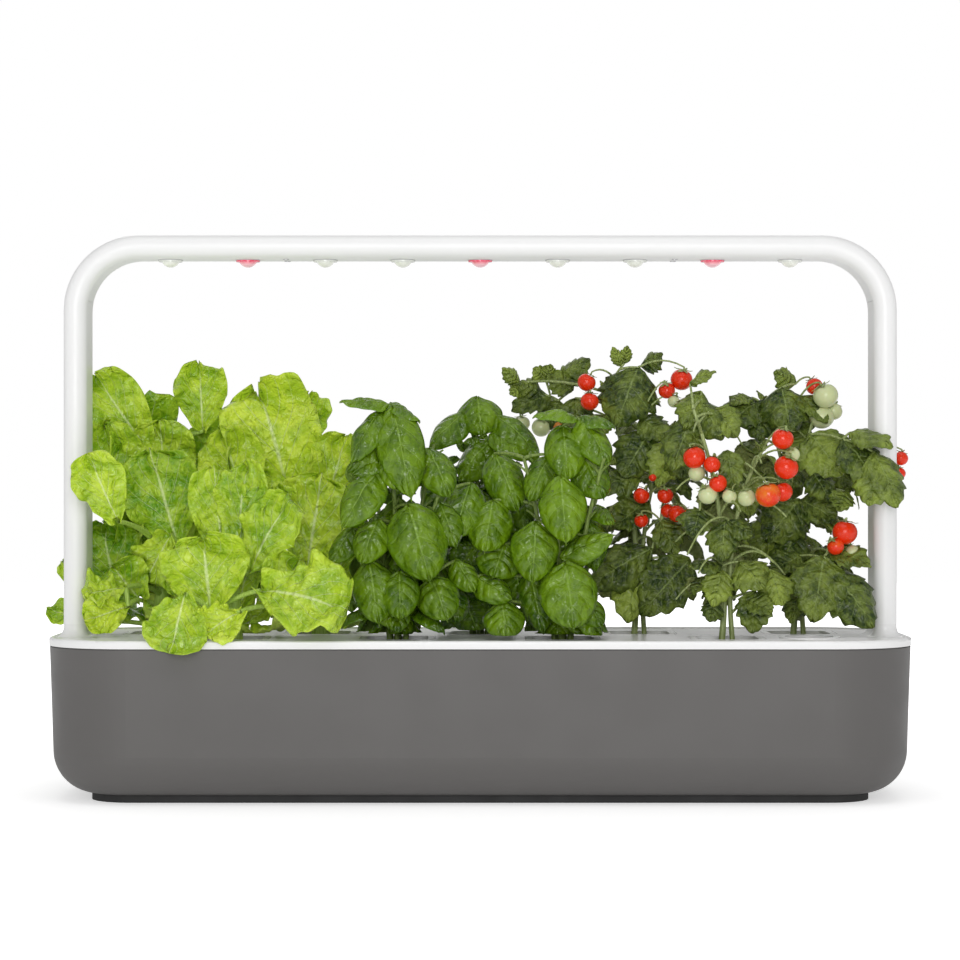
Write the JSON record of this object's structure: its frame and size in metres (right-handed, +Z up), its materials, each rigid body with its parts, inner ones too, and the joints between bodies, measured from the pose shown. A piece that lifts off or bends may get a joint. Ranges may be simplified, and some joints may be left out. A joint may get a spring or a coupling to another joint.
{
  "type": "countertop hydroponic garden",
  "caption": "Table-top planter: water tank with rounded corners, planting tray with herbs, lettuce and tomatoes in lift-out pods, and an arched plug-in grow lamp above.",
  "frame": {"origin": "middle of the foot plate's underside, on the surface the garden stands on", "axes": "+Z up, +X to the garden's right as seen from the front, front faces -Y"},
  "size_m": [0.6452, 0.1992, 0.3985],
  "materials": {
    "tank_grey": "fine satin moulded plastic, warm dark grey",
    "foot_black": "dull black non-slip foot",
    "white_gloss": "glossy white moulded plastic",
    "white_satin": "satin white moulded plastic",
    "cover_white": "matt white strip",
    "wick_felt": "off-white felt",
    "float_red": "smooth red plastic",
    "board_green": "coated circuit board",
    "board_white": "white coated aluminium circuit board",
    "inlet_black": "black moulded socket",
    "contact_metal": "plated contact metal",
    "screw_steel": "zinc plated screw",
    "lens_white": "frosted clear lens over a white diode",
    "lens_red": "frosted clear lens over a red diode",
    "seal_grey": "soft grey seal",
    "soil": "dark moist growing medium",
    "lettuce_leaf": "pale yellow-green living leaf",
    "basil_leaf": "deep green glossy living leaf",
    "tomato_leaf": "dark green hairy living leaf"
  },
  "bodies": {
    "tank": {"tank": "tank_grey", "foot_plate": "foot_black"},
    "tray": {"tray": "white_gloss", "plant_cup_1": "white_gloss", "plant_cup_2": "white_gloss", "plant_cup_3": "white_gloss", "plant_cup_4": "white_gloss", "plant_cup_5": "white_gloss", "plant_cup_6": "white_gloss", "plant_cup_7": "white_gloss", "plant_cup_8": "white_gloss", "plant_cup_9": "white_gloss", "wicks": "wick_felt", "float_guide": "white_gloss", "control_case": "white_gloss", "control_board": "board_green", "power_inlet": "inlet_black", "inlet_pin_contact": "contact_metal", "socket_pins": "contact_metal"},
    "float": {"float": "float_red"},
    "arm_left": {"arm_left": "white_satin"},
    "arm_right": {"arm_right": "white_satin", "arm_conductors": "contact_metal"},
    "lamp": {"lamp_housing": "white_satin", "lamp_cover": "cover_white", "led_strip": "board_white", "lamp_contacts": "contact_metal", "cover_screws": "screw_steel", "touch_sensor": "contact_metal", "white_lenses": "lens_white", "red_lenses": "lens_red", "lens_seals": "seal_grey"},
    "pod_1": {"soil_pod_1": "soil", "lettuce_1": "lettuce_leaf"},
    "pod_2": {"soil_pod_2": "soil", "lettuce_2": "lettuce_leaf"},
    "pod_3": {"soil_pod_3": "soil", "lettuce_3": "lettuce_leaf"},
    "pod_4": {"soil_pod_4": "soil", "basil_1": "basil_leaf"},
    "pod_5": {"soil_pod_5": "soil", "basil_2": "basil_leaf"},
    "pod_6": {"soil_pod_6": "soil", "basil_3": "basil_leaf"},
    "pod_7": {"soil_pod_7": "soil", "tomato_1": "tomato_leaf"},
    "pod_8": {"soil_pod_8": "soil", "tomato_2": "tomato_leaf"},
    "pod_9": {"soil_pod_9": "soil", "tomato_3": "tomato_leaf"}
  },
  "joints": [
    {"name": "tray_lift", "type": "slide", "parent": "tank", "child": "tray", "axis": [0, 0, 1], "range_m": [0, 0.11]},
    {"name": "float_rise", "type": "slide", "parent": "tray", "child": "float", "axis": [0, 0, 1], "range_m": [0, 0.03]},
    {"name": "arm_left_plug", "type": "slide", "parent": "tray", "child": "arm_left", "axis": [0, 0, 1], "range_m": [0, 0.03]},
    {"name": "arm_right_plug", "type": "slide", "parent": "tray", "child": "arm_right", "axis": [0, 0, 1], "range_m": [0, 0.03]},
    {"name": "lamp_plug", "type": "slide", "parent": "arm_left", "child": "lamp", "axis": [0, 0, 1], "range_m": [0, 0.035]},
    {"name": "pod_1_lift", "type": "slide", "parent": "tray", "child": "pod_1", "axis": [0, 0, 1], "range_m": [0, 0.05]},
    {"name": "pod_2_lift", "type": "slide", "parent": "tray", "child": "pod_2", "axis": [0, 0, 1], "range_m": [0, 0.05]},
    {"name": "pod_3_lift", "type": "slide", "parent": "tray", "child": "pod_3", "axis": [0, 0, 1], "range_m": [0, 0.05]},
    {"name": "pod_4_lift", "type": "slide", "parent": "tray", "child": "pod_4", "axis": [0, 0, 1], "range_m": [0, 0.05]},
    {"name": "pod_5_lift", "type": "slide", "parent": "tray", "child": "pod_5", "axis": [0, 0, 1], "range_m": [0, 0.05]},
    {"name": "pod_6_lift", "type": "slide", "parent": "tray", "child": "pod_6", "axis": [0, 0, 1], "range_m": [0, 0.05]},
    {"name": "pod_7_lift", "type": "slide", "parent": "tray", "child": "pod_7", "axis": [0, 0, 1], "range_m": [0, 0.05]},
    {"name": "pod_8_lift", "type": "slide", "parent": "tray", "child": "pod_8", "axis": [0, 0, 1], "range_m": [0, 0.05]},
    {"name": "pod_9_lift", "type": "slide", "parent": "tray", "child": "pod_9", "axis": [0, 0, 1], "range_m": [0, 0.05]}
  ],
  "couplings": [
    {"joint": "arm_right_plug", "follows": "arm_left_plug", "ratio": 1}
  ]
}
